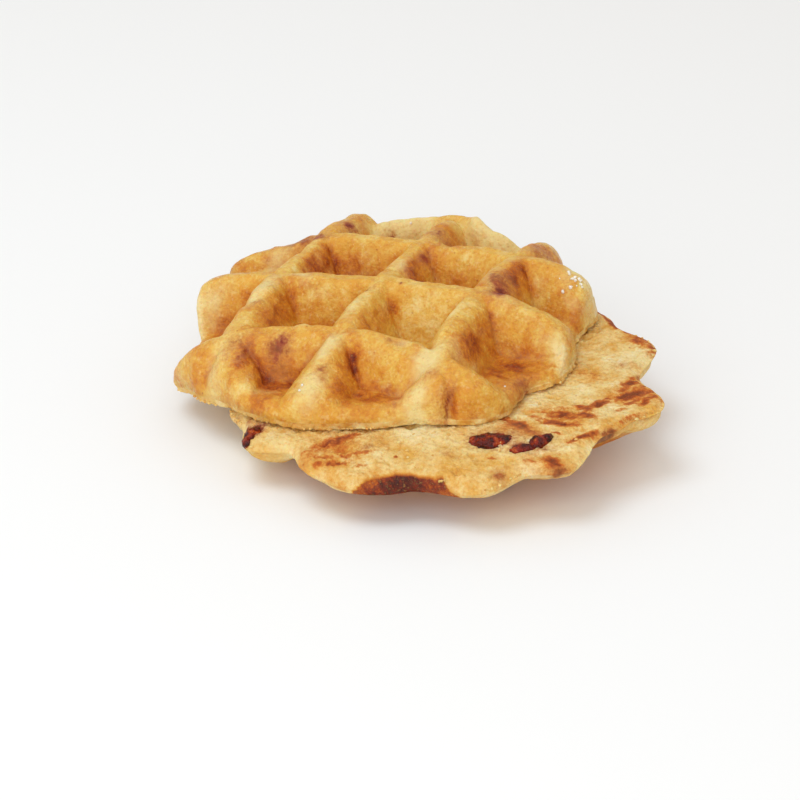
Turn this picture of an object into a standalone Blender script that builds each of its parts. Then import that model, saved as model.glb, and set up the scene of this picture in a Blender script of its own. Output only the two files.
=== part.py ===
"""A small sugar waffle with berry bits, cut level into two halves that lie askew on each other.

Metres, +Z up, with the origin under the middle of the stack, on the surface it stands on.
The lower half lies on its grid, cut face up. The upper half lies on that face, moved to the
left and back, with its own grid up. Three berries show in the lower half's cut face.

Each half starts as a UV sphere. Its rings are dealt out over the grid side, the rim wall and
the cut face, and its points are then moved by the shape functions:

    thickness = web + max(relief * fall(s) * ridge share, lip)

where s runs from 0 at the half's centre to 1 at its rim.
"""

import dataclasses
import math

import bmesh
import bpy
import numpy as np

MM = 0.001

# Mesh of one half
SPOKES = 104
GRID_RINGS = 20
WALL_RINGS = 2
CUT_RINGS = 6
RING_EASE = 1.15

# The stack stands over its own origin by this move of its parts.
STACK_SHIFT = (6.95 * MM, -13.17 * MM, 0.0)
LIE_GAP = 0.3 * MM

# The cut: a plane that rises to the right, and rolls down at the left and front edges
CUT_HEIGHT = 15.0 * MM
CUT_SLOPE = 0.07
ROLL_LEFT_OF = -38.0 * MM
ROLL_BEFORE = -25.0 * MM
ROLL_PER_METRE = 6.5

# The grid, alike on both halves
GRID_TURN = math.radians(-21.4)
WEB = 4.5 * MM
WEB_ROUNDING = 2.5 * MM
CREST_HALF_WIDTH = 1.3 * MM
WALL_RUN = 6.4 * MM
WALL_POWER = 1.9
LIP_FROM_RIM = 3.6 * MM
LIP_HALF_WIDTH = 4.2 * MM
LIP_POWER = 0.7

# Berries: rounded lumps that stand a little out of the cut face
BERRY_SPOKES = 14
BERRY_RINGS = 8
BERRY_LUMPS = 0.07
BERRY_SOCKET_GAP = 0.3 * MM

CRUST_COLOUR = "D9983E"
CRUMB_COLOUR = "E6CC86"
BERRY_COLOUR = "64120C"


@dataclasses.dataclass(frozen=True)
class Ridge:
    """Centre line of a ridge, in mm in the grid's own axes: offset + slope * a + bend * a * a."""

    offset: float
    slope: float = 0.0
    bend: float = 0.0


@dataclasses.dataclass(frozen=True)
class Half:
    """One half. The tuples of pairs hold (degrees round the rim, value) and are eased between."""

    name: str
    centre: tuple  # of the rim, on the cut, in mm
    side: int  # 1 with the grid up, -1 with the grid down
    lift: float  # over the cut, in metres
    relief: float  # ridge height over the pocket floors, in mm
    run: float | None  # mm from the rim to full ridge height, or None for all the way in
    ridges_across: tuple  # they run left to right
    ridges_away: tuple  # they run front to back
    rim: tuple  # radius, in mm
    brink: tuple  # height of the rim's wall, in mm
    ends: tuple  # the higher, the steeper the ridges end at the rim
    lip: tuple  # height of a bead just inside the rim, in mm


@dataclasses.dataclass(frozen=True)
class Berry:
    """A berry in the lower half's cut face, in mm and degrees."""

    name: str
    x: float
    y: float
    half_size: tuple  # along, across and up
    turn: float
    rise: float  # of its top over the cut face
    lump_phase: float


UPPER = Half(
    name="upper_half",
    centre=(-14.6, 20.1),
    side=1,
    lift=LIE_GAP,
    relief=12.0,
    run=None,
    ridges_across=(
        Ridge(-21.8, -0.02, -0.0065),
        Ridge(3.9, 0.01, -0.001),
        Ridge(28.3, -0.01, -0.0022),
    ),
    ridges_away=(
        Ridge(-27.0, -0.01, 0.0022),
        Ridge(-0.6, 0.03, 0.0006),
        Ridge(25.0, 0.03, 0.0022),
    ),
    rim=(
        (1, 49.5), (14, 47.5), (33, 54.5), (44, 51.0), (56, 54.5), (74, 50.0),
        (88, 53.0), (104, 49.5), (120, 54.0), (136, 50.0), (154, 53.5), (166, 47.0),
        (182, 46.5), (194, 45.5), (208, 50.5), (222, 47.0), (237, 45.0), (262, 45.7),
        (285, 43.6), (300, 43.6), (324, 51.0), (340, 46.8), (352, 50.0),
    ),
    brink=((0, 1.6), (180, 1.6)),
    ends=(
        (0, 2.6), (30, 4.0), (55, 4.0), (75, 2.6), (90, 4.0), (120, 5.5), (150, 2.6),
        (178, 4.2), (198, 2.6), (212, 2.8), (237, 2.0), (270, 1.9), (300, 2.0),
        (330, 2.4),
    ),
    lip=(
        (0, 0.0), (45, 0.0), (62, 4.5), (78, 7.5), (92, 9.4), (104, 9.4), (114, 7.0),
        (128, 1.5), (145, 0.0), (200, 0.0), (230, 1.2), (250, 0.6), (280, 1.0),
        (300, 0.6), (325, 0.0),
    ),
)

LOWER = Half(
    name="lower_half",
    centre=(0.0, 0.0),
    side=-1,
    lift=0.0,
    relief=13.0,
    run=24.0,
    ridges_across=(Ridge(-24.0, -0.02), Ridge(1.0, 0.01), Ridge(27.0, -0.01)),
    ridges_away=(Ridge(-30.0), Ridge(-6.0, 0.02), Ridge(24.0)),
    rim=(
        (1.6, 54.2), (19, 46.6), (38, 53.3), (52, 50.5), (62, 52.5), (76, 49.0),
        (90, 53.0), (105, 49.0), (120, 53.0), (135, 49.0), (150, 53.0), (165, 49.0),
        (180, 53.0), (196, 49.0), (206, 50.8), (217, 48.8), (228, 51.5), (239.5, 44.6),
        (251, 47.8), (267, 48.3), (284, 43.4), (303, 48.0), (314, 46.2), (326, 50.8),
        (341, 47.0), (350, 49.3),
    ),
    brink=(
        (0, 1.6), (30, 2.0), (180, 2.5), (228, 3.2), (267, 3.6), (284, 5.0), (303, 3.4),
        (326, 2.6), (345, 1.6),
    ),
    ends=(
        (0, 1.0), (22, 1.05), (45, 1.4), (90, 1.8), (180, 2.2), (225, 1.3), (270, 1.12),
        (300, 1.1), (315, 1.05), (345, 1.0),
    ),
    lip=((0, 0.0), (180, 0.0)),
)

BERRIES = (
    Berry("berry_1", 10.6, -31.0, (4.7, 3.5, 2.0), 4.0, 0.9, 0.4),
    Berry("berry_2", 20.6, -34.4, (5.0, 2.3, 1.9), 28.0, 1.0, 2.1),
    Berry("berry_3", -44.3, -19.4, (3.4, 2.0, 1.8), 75.0, 0.6, 4.0),
)


def round_rim(angle, stops):
    """The value at each angle, eased by half a cosine from each stop to the next, round the rim."""
    degrees = np.array([stop[0] for stop in stops], float)
    values = np.array([stop[1] for stop in stops], float)
    degrees = np.concatenate([[degrees[-1] - 360.0], degrees, [degrees[0] + 360.0]])
    values = np.concatenate([[values[-1]], values, [values[0]]])
    at = np.degrees(angle) % 360.0
    k = np.clip(np.searchsorted(degrees, at, side="right") - 1, 0, len(degrees) - 2)
    share = (at - degrees[k]) / (degrees[k + 1] - degrees[k])
    share = (1.0 - np.cos(np.pi * share)) / 2.0
    return values[k] * (1.0 - share) + values[k + 1] * share


def cut_height(x, y):
    """Height of the cut face over the surface that the waffle stands on."""
    left = np.maximum(0.0, ROLL_LEFT_OF - x)
    front = np.maximum(0.0, ROLL_BEFORE - y)
    return CUT_HEIGHT + CUT_SLOPE * x - ROLL_PER_METRE * (left**2 + front**2)


def cut_normal(x, y):
    """Unit normals of the cut face, pointing up."""
    slope_x = CUT_SLOPE + 2.0 * ROLL_PER_METRE * np.maximum(0.0, ROLL_LEFT_OF - x)
    slope_y = 2.0 * ROLL_PER_METRE * np.maximum(0.0, ROLL_BEFORE - y)
    normal = np.stack([-slope_x, -slope_y, np.ones_like(slope_x)], axis=-1)
    return normal / np.linalg.norm(normal, axis=-1, keepdims=True)


def ridge_share(along, across, ridges):
    """1 on the crests of these ridges and 0 on the pocket floors, down steep rounded walls."""
    nearest = np.full(np.shape(along), np.inf)
    for ridge in ridges:
        a = along / MM
        line = (ridge.offset + ridge.slope * a + ridge.bend * a * a) * MM
        tilt = ridge.slope + 2.0 * ridge.bend * a
        nearest = np.minimum(nearest, np.abs(across - line) / np.sqrt(1.0 + tilt**2))
    down = np.clip((nearest - CREST_HALF_WIDTH) / WALL_RUN, 0.0, 1.0)
    return 1.0 - down**WALL_POWER


def to_stack(half, u, v):
    """Turns the grid's own axes into the stack's x and y."""
    turn_cos = math.cos(GRID_TURN)
    turn_sin = math.sin(GRID_TURN)
    x = half.centre[0] * MM + u * turn_cos - v * turn_sin
    y = half.centre[1] * MM + u * turn_sin + v * turn_cos
    return x, y


def thickness(half, s, angle):
    """Thickness of the half over its cut face, from s = 0 at the centre to s = 1 at the rim."""
    radius = round_rim(angle, half.rim) * MM
    u = s * radius * np.cos(angle)
    v = s * radius * np.sin(angle)
    ridges = np.maximum(
        ridge_share(u, v, half.ridges_across),
        ridge_share(v, u, half.ridges_away),
    )
    from_rim = (1.0 - s) * radius
    reach = s if half.run is None else np.clip(1.0 - from_rim / (half.run * MM), 0.0, 1.0)
    steep = round_rim(angle, half.ends)
    fall = np.clip(1.0 - reach**steep, 0.0, 1.0) ** (1.0 / steep)
    brink = round_rim(angle, half.brink) * MM
    inward = np.clip(from_rim / WEB_ROUNDING, 0.0, 1.0)
    web = brink + (WEB - brink) * np.sqrt(1.0 - (1.0 - inward) ** 2)
    relief = half.relief * MM
    if half.side < 0:
        # The lower half's ridges reach just to the surface it stands on, never through it.
        relief = np.minimum(relief, cut_height(*to_stack(half, u, v)) - WEB + LIE_GAP)
    bead = np.clip(1.0 - ((from_rim - LIP_FROM_RIM) / LIP_HALF_WIDTH) ** 2, 0.0, 1.0)
    lip = round_rim(angle, half.lip) * MM * bead**LIP_POWER
    return web + np.maximum(relief * fall * ridges, lip)


def ring_stations():
    """For each ring of the sphere from its top pole: s, and the share of the thickness."""
    t = np.arange(GRID_RINGS + 1) / GRID_RINGS
    grid_s = 1.0 - (1.0 - t) ** RING_EASE
    wall_s = np.ones(WALL_RINGS)
    cut_s = 1.0 - np.arange(1, CUT_RINGS + 1) / CUT_RINGS
    grid_share = np.ones(GRID_RINGS + 1)
    wall_share = 1.0 - np.arange(1, WALL_RINGS + 1) / WALL_RINGS
    cut_share = np.zeros(CUT_RINGS)
    s = np.concatenate([grid_s, wall_s, cut_s])
    share = np.concatenate([grid_share, wall_share, cut_share])
    return s, share


def linear_colour(hex_colour):
    """A display colour such as D9983E as Blender's linear RGBA."""
    channels = []
    for start in (0, 2, 4):
        value = int(hex_colour[start : start + 2], 16) / 255.0
        channels.append(value / 12.92 if value <= 0.04045 else ((value + 0.055) / 1.055) ** 2.4)
    return (*channels, 1.0)


def food_material(name, hex_colour, roughness, subsurface):
    material = bpy.data.materials.new(name)
    material.use_nodes = True
    shader = material.node_tree.nodes["Principled BSDF"]
    shader.inputs["Base Color"].default_value = linear_colour(hex_colour)
    shader.inputs["Roughness"].default_value = roughness
    shader.inputs["Metallic"].default_value = 0.0
    shader.inputs["Subsurface Weight"].default_value = subsurface
    shader.inputs["Subsurface Scale"].default_value = 2.0 * MM
    return material


def sphere_mesh(name, spokes, rings):
    """A UV sphere of radius 1, and its points as an array."""
    mesh = bpy.data.meshes.new(name)
    sphere = bmesh.new()
    bmesh.ops.create_uvsphere(sphere, u_segments=spokes, v_segments=rings, radius=1.0)
    sphere.to_mesh(mesh)
    sphere.free()
    points = np.empty(len(mesh.vertices) * 3)
    mesh.vertices.foreach_get("co", points)
    return mesh, points.reshape(-1, 3)


def add_object(name, mesh, points, location, collection, parent, material=None):
    """Gives the mesh its moved points, and puts it in the scene about its own location."""
    mesh.vertices.foreach_set("co", (points - np.array(location)).ravel())
    mesh.shade_smooth()
    mesh.set_sharp_from_angle(angle=math.radians(60.0))
    mesh.update()
    piece = bpy.data.objects.new(name, mesh)
    piece.location = location
    piece.parent = parent
    if material:
        mesh.materials.append(material)
    collection.objects.link(piece)
    return piece


def build_half(half, material, collection, parent):
    ring_s, ring_share = ring_stations()
    rings = len(ring_s) - 1
    mesh, points = sphere_mesh(half.name, SPOKES, rings)
    polar = np.arccos(np.clip(points[:, 2], -1.0, 1.0))
    ring = np.rint(polar / math.pi * rings).astype(int)
    angle = np.arctan2(points[:, 1], points[:, 0])
    s = ring_s[ring]
    radius = round_rim(angle, half.rim) * MM
    x, y = to_stack(half, s * radius * np.cos(angle), s * radius * np.sin(angle))
    height = ring_share[ring] * thickness(half, s, angle)
    if half.side < 0:
        # Seen from its grid side the lower half is upside down, so its rings run the other way.
        mesh.flip_normals()
    moved = np.stack([x, y, cut_height(x, y)], axis=-1)
    moved += half.side * height[:, None] * cut_normal(x, y)
    moved[:, 2] += half.lift
    if half.side < 0:
        moved[:, 2] = np.maximum(moved[:, 2], 0.0)
    centre_x = half.centre[0] * MM
    centre_y = half.centre[1] * MM
    location = (centre_x, centre_y, float(cut_height(centre_x, centre_y)))
    return add_object(half.name, mesh, moved, location, collection, parent, material)


def build_lump(name, berry, grow, collection, parent, material=None):
    """A berry, or with grow the cutter of its socket."""
    mesh, points = sphere_mesh(name, BERRY_SPOKES, BERRY_RINGS)
    azimuth = np.arctan2(points[:, 1], points[:, 0])
    flat = np.hypot(points[:, 0], points[:, 1])
    lumps = 1.0 + BERRY_LUMPS * flat * np.sin(3.0 * azimuth + berry.lump_phase)
    half_size = np.array(berry.half_size) * MM + grow
    lump = points * lumps[:, None] * half_size
    turn = math.radians(berry.turn)
    x = berry.x * MM
    y = berry.y * MM
    middle = float(cut_height(x, y)) + (berry.rise - berry.half_size[2]) * MM
    moved = np.stack(
        [
            x + lump[:, 0] * math.cos(turn) - lump[:, 1] * math.sin(turn),
            y + lump[:, 0] * math.sin(turn) + lump[:, 1] * math.cos(turn),
            middle + lump[:, 2],
        ],
        axis=-1,
    )
    return add_object(name, mesh, moved, (x, y, middle), collection, parent, material)


def build_berries(lower, material, collection, cutters, parent):
    """The berries, each in a socket that is cut a little larger than it."""
    for berry in BERRIES:
        build_lump(berry.name, berry, 0.0, collection, parent, material)
        cutter = build_lump(berry.name + "_socket", berry, BERRY_SOCKET_GAP, cutters, parent)
        cutter.hide_render = True
        cutter.display_type = "WIRE"
        socket = lower.modifiers.new(berry.name + "_socket", "BOOLEAN")
        socket.operation = "DIFFERENCE"
        socket.solver = "EXACT"
        socket.object = cutter


def new_collection(name):
    collection = bpy.data.collections.new(name)
    bpy.context.scene.collection.children.link(collection)
    return collection


def main():
    for old in list(bpy.data.objects):
        bpy.data.objects.remove(old, do_unlink=True)
    waffle = new_collection("waffle")
    cutters = new_collection("cutters")
    cutters.hide_render = True
    stack = bpy.data.objects.new("stack", None)
    stack.location = STACK_SHIFT
    waffle.objects.link(stack)

    crust = food_material("griddled crust", CRUST_COLOUR, 0.55, 0.15)
    crumb = food_material("cut crumb", CRUMB_COLOUR, 0.8, 0.25)
    berry_skin = food_material("cooked berry", BERRY_COLOUR, 0.2, 0.05)

    build_half(UPPER, crust, waffle, stack)
    lower = build_half(LOWER, crumb, waffle, stack)
    build_berries(lower, berry_skin, waffle, cutters, stack)


main()
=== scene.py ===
"""Looks of a small sugar waffle with berry bits, cut level into two halves that lie askew.

Every surface is worked out with numpy. A half is one closed shell: rings of points run from
the middle of the grid side over the ridges to the rim, down the torn wall and back over the
cut face. Lengths in the tables are millimetres in the stack's own frame, whose origin is on
the table under the lower half's middle; STACK_SHIFT takes it to the part's frame.
"""

import dataclasses
import math

import bpy
import numpy as np
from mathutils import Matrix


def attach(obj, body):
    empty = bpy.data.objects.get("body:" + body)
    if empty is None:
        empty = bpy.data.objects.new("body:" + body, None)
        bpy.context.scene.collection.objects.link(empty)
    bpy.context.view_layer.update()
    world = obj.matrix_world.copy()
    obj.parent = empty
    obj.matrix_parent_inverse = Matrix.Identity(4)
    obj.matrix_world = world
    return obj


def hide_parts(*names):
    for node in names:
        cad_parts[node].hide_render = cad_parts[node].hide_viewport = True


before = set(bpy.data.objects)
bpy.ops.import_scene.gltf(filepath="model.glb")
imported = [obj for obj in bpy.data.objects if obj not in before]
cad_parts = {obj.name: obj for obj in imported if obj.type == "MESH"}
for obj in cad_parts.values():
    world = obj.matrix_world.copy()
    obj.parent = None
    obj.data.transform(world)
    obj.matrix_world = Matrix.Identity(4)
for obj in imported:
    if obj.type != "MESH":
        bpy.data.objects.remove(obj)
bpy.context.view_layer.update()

MM = 0.001
PER_MM = 1000.0

# The form, as the solids have it
STACK_SHIFT = np.array([6.95, -13.17, 0.0])
LIE_GAP = 0.3
CUT_HEIGHT = 15.0
CUT_SLOPE = 0.07
ROLL_LEFT_OF = -38.0
ROLL_BEFORE = -25.0
ROLL_PER_MM = 0.0065
GRID_TURN = math.radians(-21.4)
WEB = 4.5
WEB_ROUNDING = 2.5
CREST_HALF_WIDTH = 1.0
WALL_RUN = 6.9
WALL_POWER = 1.65
LIP_FROM_RIM = 3.6
LIP_HALF_WIDTH = 4.2
LIP_POWER = 0.7

# How fine the shells are
SPOKES = 600
RING_EASE = 1.12
OCTAVES = 3

# The baked skin
SKIN_FROM_RIM = 4.0
SKIN_FADE = 3.0
NOTCH_DEGREES = 282.0
NOTCH_HALF_WIDTH = 16.0
# Painted shade in the fold where the notch's two lobes meet
FOLD_SHADE_DEGREES = 280.0
FOLD_SHADE_HALF_WIDTH = 2.6
ABOVE_TABLE = 0.02

# The camera and the table: distance and reach in metres, the rest in millimetres
VIEW_DOWN = math.radians(27.0)
VIEW_DISTANCE = 0.75
VIEW_AIM = np.array([-10.0, 19.6, 0.0])
SENSOR_WIDTH = 36.0
LENS = 136.35
TABLE_REACH = 3.0


@dataclasses.dataclass(frozen=True)
class Half:
    """One half. Ridges are (offset, slope, bend) lines; pairs are (degrees round the rim, value)."""

    centre: tuple
    side: int  # 1 with the grid up, -1 with the grid down
    lift: float
    relief: float
    run: float | None
    ridges_across: tuple
    ridges_away: tuple
    rim: tuple
    brink: tuple
    ends: tuple
    lip: tuple
    rings: tuple  # on the grid side, down the wall and over the cut face
    edge_round: tuple  # how far in and how far down the cut edge is rounded
    lean: tuple  # how far in the cut edge lies from the outermost rim


UPPER = Half(
    centre=(-14.6, 20.1),
    side=1,
    lift=LIE_GAP,
    relief=12.0,
    run=None,
    ridges_across=((-21.8, -0.02, -0.0065), (3.9, 0.01, -0.001), (28.3, -0.01, -0.0022)),
    ridges_away=((-27.0, -0.01, 0.0022), (-0.6, 0.03, 0.0006), (25.0, 0.03, 0.0022)),
    rim=(
        (1, 49.5), (14, 47.5), (33, 54.5), (44, 51.0), (56, 54.5), (74, 50.0),
        (88, 53.0), (104, 49.5), (120, 54.0), (136, 50.0), (154, 53.5), (166, 47.0),
        (182, 45.8), (194, 45.5), (208, 50.5), (222, 47.0), (237, 45.0), (262, 45.7),
        (285, 43.6), (300, 43.6), (324, 51.0), (340, 46.8), (352, 50.0),
    ),
    brink=((0, 1.6), (180, 1.6)),
    ends=(
        (0, 2.6), (30, 4.0), (55, 4.0), (75, 2.6), (90, 4.0), (120, 5.5), (150, 2.6),
        (172, 4.0), (180, 7.5), (190, 7.0), (200, 2.6), (212, 2.8), (237, 2.0), (270, 1.9), (300, 2.0),
        (330, 2.4),
    ),
    # From 62 to 92 degrees the lip stands up to about 3 mm higher than the solid's
    lip=(
        (0, 0.0), (45, 0.0), (62, 4.5), (72, 9.0), (79, 10.8), (85, 9.9), (92, 9.4), (104, 9.4), (114, 7.0),
        (128, 1.5), (145, 0.0), (200, 0.0), (230, 1.2), (250, 0.6), (280, 1.0),
        (300, 0.6), (325, 0.0),
    ),
    rings=(118, 10, 30),
    edge_round=(0.8, 0.3),
    lean=((0, 0.0), (180, 0.0)),
)

LOWER = Half(
    centre=(0.0, 0.0),
    side=-1,
    lift=0.0,
    relief=13.0,
    run=24.0,
    ridges_across=((-24.0, -0.02, 0.0), (1.0, 0.01, 0.0), (27.0, -0.01, 0.0)),
    ridges_away=((-30.0, 0.0, 0.0), (-6.0, 0.02, 0.0), (24.0, 0.0, 0.0)),
    rim=(
        (1.6, 54.2), (19, 46.6), (38, 53.3), (52, 50.5), (62, 52.5), (76, 49.0),
        (90, 53.0), (105, 49.0), (120, 53.0), (135, 49.0), (150, 53.0), (165, 49.0),
        (180, 53.0), (196, 49.0), (206, 50.8), (217, 48.8), (228, 51.5), (239.5, 44.6),
        (251, 47.8), (267, 48.3), (284, 43.4), (303, 48.0), (314, 46.2), (326, 50.8),
        (341, 47.0), (350, 49.3),
    ),
    brink=(
        (0, 1.6), (30, 2.0), (180, 2.5), (228, 3.2), (267, 3.6), (284, 5.0), (303, 3.4),
        (326, 2.6), (345, 1.6),
    ),
    ends=(
        (0, 1.0), (22, 1.05), (45, 1.4), (90, 1.8), (180, 2.2), (225, 1.3), (270, 1.12),
        (300, 1.1), (315, 1.05), (345, 1.0),
    ),
    lip=((0, 0.0), (180, 0.0)),
    rings=(58, 16, 88),
    edge_round=(2.8, 1.3),
    lean=((0, 0.0), (258, 0.0), (265, 0.9), (272, 3.0), (276, 2.8), (280, 1.5), (284, 0.3), (288, 0.5),
          (292, 1.8), (295, 1.0), (298, 0.0)),
)


def eased(t):
    """0 below 0 and 1 above 1, with the smooth step 3t2 - 2t3 between."""
    t = np.clip(t, 0.0, 1.0)
    return t * t * (3.0 - 2.0 * t)


def round_rim(angle, stops):
    """The value at each angle, eased by half a cosine from each stop to the next, round the rim."""
    degrees = np.array([stop[0] for stop in stops], float)
    values = np.array([stop[1] for stop in stops], float)
    degrees = np.concatenate([[degrees[-1] - 360.0], degrees, [degrees[0] + 360.0]])
    values = np.concatenate([[values[-1]], values, [values[0]]])
    at = np.degrees(angle) % 360.0
    k = np.clip(np.searchsorted(degrees, at, side="right") - 1, 0, len(degrees) - 2)
    share = (at - degrees[k]) / (degrees[k + 1] - degrees[k])
    share = (1.0 - np.cos(np.pi * share)) / 2.0
    return values[k] * (1.0 - share) + values[k + 1] * share


def hashed(cell, seed):
    """A number from 0 to 1 for each whole-numbered cell, by multiplying and folding its bits."""
    cell = cell.astype(np.uint32)
    bits = cell[..., 0] * np.uint32(374761393) + cell[..., 1] * np.uint32(668265263)
    bits = bits + cell[..., 2] * np.uint32(2246822519) + np.uint32(seed * 977 + 13)
    bits = (bits ^ (bits >> np.uint32(13))) * np.uint32(1274126177)
    bits = (bits ^ (bits >> np.uint32(15))) * np.uint32(2654435769)
    bits = bits ^ (bits >> np.uint32(16))
    return bits.astype(float) / 4294967295.0


def noise(points, size, seed):
    """Value noise from -1 to 1: the cell's eight corner numbers, blended by a smooth step."""
    at = points / np.asarray(size, float)
    cell = np.floor(at).astype(np.int64)
    part = eased(at - cell)
    total = 0.0
    for corner in np.ndindex(2, 2, 2):
        weight = np.prod(np.where(np.array(corner) == 1, part, 1.0 - part), axis=-1)
        total = total + weight * hashed(cell + np.array(corner), seed)
    return 2.0 * total - 1.0


def rough(points, size, seed):
    """Noise of several sizes, each half as large and half as strong as the last."""
    total = 0.0
    for octave in range(OCTAVES):
        total = total + noise(points, np.asarray(size, float) / 2**octave, seed + octave) / 2**octave
    return total


def pits(u, v, size, full, seed):
    """Depth of round pits, 1 in their middles: one pit of its own radius in this share of cells."""
    at = np.stack([u, v, np.zeros_like(u)], axis=-1) / size
    cell = np.floor(at).astype(np.int64)
    depth = np.zeros_like(u)
    for step_u in (-1, 0, 1):
        for step_v in (-1, 0, 1):
            near = cell + np.array([step_u, step_v, 0])
            middle_u = near[..., 0] + hashed(near, seed)
            middle_v = near[..., 1] + hashed(near, seed + 1)
            radius = 0.18 + 0.27 * hashed(near, seed + 2)
            there = hashed(near, seed + 3) < full
            away = np.hypot(at[..., 0] - middle_u, at[..., 1] - middle_v) / radius
            depth = np.maximum(depth, np.where(there, 1.0 - away**2, 0.0))
    return np.clip(depth, 0.0, 1.0)


def cut_height(x, y):
    """Height of the cut face: a plane that rolls down past its left and front lines."""
    left = np.maximum(0.0, ROLL_LEFT_OF - x)
    front = np.maximum(0.0, ROLL_BEFORE - y)
    return CUT_HEIGHT + CUT_SLOPE * x - ROLL_PER_MM * (left**2 + front**2)


def cut_normal(x, y):
    """Unit normals of the cut face, pointing up."""
    slope_x = CUT_SLOPE + 2.0 * ROLL_PER_MM * np.maximum(0.0, ROLL_LEFT_OF - x)
    slope_y = 2.0 * ROLL_PER_MM * np.maximum(0.0, ROLL_BEFORE - y)
    normal = np.stack([-slope_x, -slope_y, np.ones_like(slope_x)], axis=-1)
    return normal / np.linalg.norm(normal, axis=-1, keepdims=True)


def to_ridge(along, across, ridges):
    """Distance to the nearest of these bent centre lines."""
    nearest = np.full(np.shape(along), np.inf)
    for offset, slope, bend in ridges:
        line = offset + slope * along + bend * along**2
        tilt = slope + 2.0 * bend * along
        nearest = np.minimum(nearest, np.abs(across - line) / np.sqrt(1.0 + tilt**2))
    return nearest


def wall_share(distance):
    """1 on a crest and 0 on a pocket floor, down a steep wall whose shoulder is rounded."""
    down = np.clip((distance - CREST_HALF_WIDTH) / WALL_RUN, 0.0, 1.0)
    return 1.0 - down**WALL_POWER


def to_stack(half, u, v):
    """Turns the grid's own axes into the stack's x and y."""
    x = half.centre[0] + u * math.cos(GRID_TURN) - v * math.sin(GRID_TURN)
    y = half.centre[1] + u * math.sin(GRID_TURN) + v * math.cos(GRID_TURN)
    return x, y


class Shell:
    """The smooth form of one half, and what its relief and colours need to know of each point."""

    def __init__(self, half):
        self.half = half
        grid, wall, cut = half.rings
        out = 1.0 - (1.0 - np.arange(grid + 1) / grid) ** RING_EASE
        back = 1.0 - (np.arange(1, cut + 1) / cut) ** (1.0 / RING_EASE)
        s = np.concatenate([out, np.ones(wall), back])
        share = np.concatenate([np.ones(grid + 1), 1.0 - np.arange(1, wall + 1) / wall, np.zeros(cut)])
        angle = np.arange(SPOKES) * 2.0 * np.pi / SPOKES
        self.s, self.angle = np.meshgrid(s, angle, indexing="ij")
        self.degrees = np.degrees(self.angle)
        self.share = np.repeat(share[:, None], SPOKES, axis=1)
        ring = np.arange(len(s))[:, None] + np.zeros((1, SPOKES))
        self.on_cut = ring > grid + wall
        self.on_wall = (ring > grid) & ~self.on_cut
        radius = round_rim(self.angle, half.rim)
        lean = round_rim(self.angle, half.lean) * np.where(self.on_wall, 1.0 - self.share, self.on_cut)
        radius = radius - lean
        self.from_rim = (1.0 - self.s) * radius
        self.u = self.s * radius * np.cos(self.angle)
        self.v = self.s * radius * np.sin(self.angle)
        self.to_across = to_ridge(self.u, self.v, half.ridges_across)
        self.to_away = to_ridge(self.v, self.u, half.ridges_away)
        across = wall_share(self.to_across)
        away = wall_share(self.to_away)
        self.ridge = np.maximum(across, away)
        self.corner = 1.0 - eased(np.abs(across - away) / 0.5)
        drop = self.rounding()
        off_cut = drop + (self.thickness() - drop) * self.share
        self.depth = off_cut
        self.points = self.place(off_cut)

    def rounding(self):
        """How far the cut face's edge falls: a quarter ellipse over the last edge_round mm."""
        across, down = self.half.edge_round
        inward = np.clip(self.from_rim / across, 0.0, 1.0)
        return down * (1.0 - np.sqrt(1.0 - (1.0 - inward) ** 2))

    def thickness(self):
        """web + max(relief * fall * ridge share, lip), all over the cut face."""
        half = self.half
        reach = self.s if half.run is None else np.clip(1.0 - self.from_rim / half.run, 0.0, 1.0)
        steep = round_rim(self.angle, half.ends)
        self.fall = np.clip(1.0 - reach**steep, 0.0, 1.0) ** (1.0 / steep)
        brink = round_rim(self.angle, half.brink)
        inward = np.clip(self.from_rim / WEB_ROUNDING, 0.0, 1.0)
        web = brink + (WEB - brink) * np.sqrt(1.0 - (1.0 - inward) ** 2)
        relief = half.relief
        if half.side < 0:
            relief = np.minimum(relief, cut_height(*to_stack(half, self.u, self.v)) - WEB + LIE_GAP)
        bead = np.clip(1.0 - ((self.from_rim - LIP_FROM_RIM) / LIP_HALF_WIDTH) ** 2, 0.0, 1.0)
        lip = round_rim(self.angle, half.lip) * bead**LIP_POWER
        return web + np.maximum(relief * self.fall * self.ridge, lip)

    def place(self, height):
        """Points at this height off the cut face, on the half's own side of it."""
        x, y = to_stack(self.half, self.u, self.v)
        points = np.stack([x, y, cut_height(x, y) + self.half.lift], axis=-1)
        return points + self.half.side * height[..., None] * cut_normal(x, y)

    def normals(self):
        """Outward unit normals, by differences along and across the rings."""
        along = np.gradient(self.points, axis=0)
        around = np.roll(self.points, -1, axis=1) - np.roll(self.points, 1, axis=1)
        normal = np.cross(along, around) * self.half.side
        length = np.linalg.norm(normal, axis=-1, keepdims=True)
        normal = normal / np.maximum(length, 1e-12)
        normal[0] = (0.0, 0.0, self.half.side)
        normal[-1] = (0.0, 0.0, -self.half.side)
        return normal

    def push(self, amount):
        """Moves each point along its normal; the two poles stay single points."""
        amount = np.array(np.broadcast_to(amount, self.s.shape))
        amount[0] = amount[0].mean()
        amount[-1] = amount[-1].mean()
        self.points = self.points + amount[..., None] * self.normals()


def mark(u, v, spot):
    """How strongly one (u, v, half length, half width, turn, strength) oval marks each point."""
    middle_u, middle_v, half_length, half_width, turn, strength = spot
    turn = math.radians(turn)
    along = (u - middle_u) * math.cos(turn) + (v - middle_v) * math.sin(turn)
    across = (v - middle_v) * math.cos(turn) - (u - middle_u) * math.sin(turn)
    away = (along / half_length) ** 2 + (across / half_width) ** 2
    return strength * np.exp(-away)


def marks(u, v, spots):
    """All the ovals, the strongest at each point."""
    total = np.zeros(np.shape(u))
    for spot in spots:
        total = np.maximum(total, mark(u, v, spot))
    return total
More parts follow.
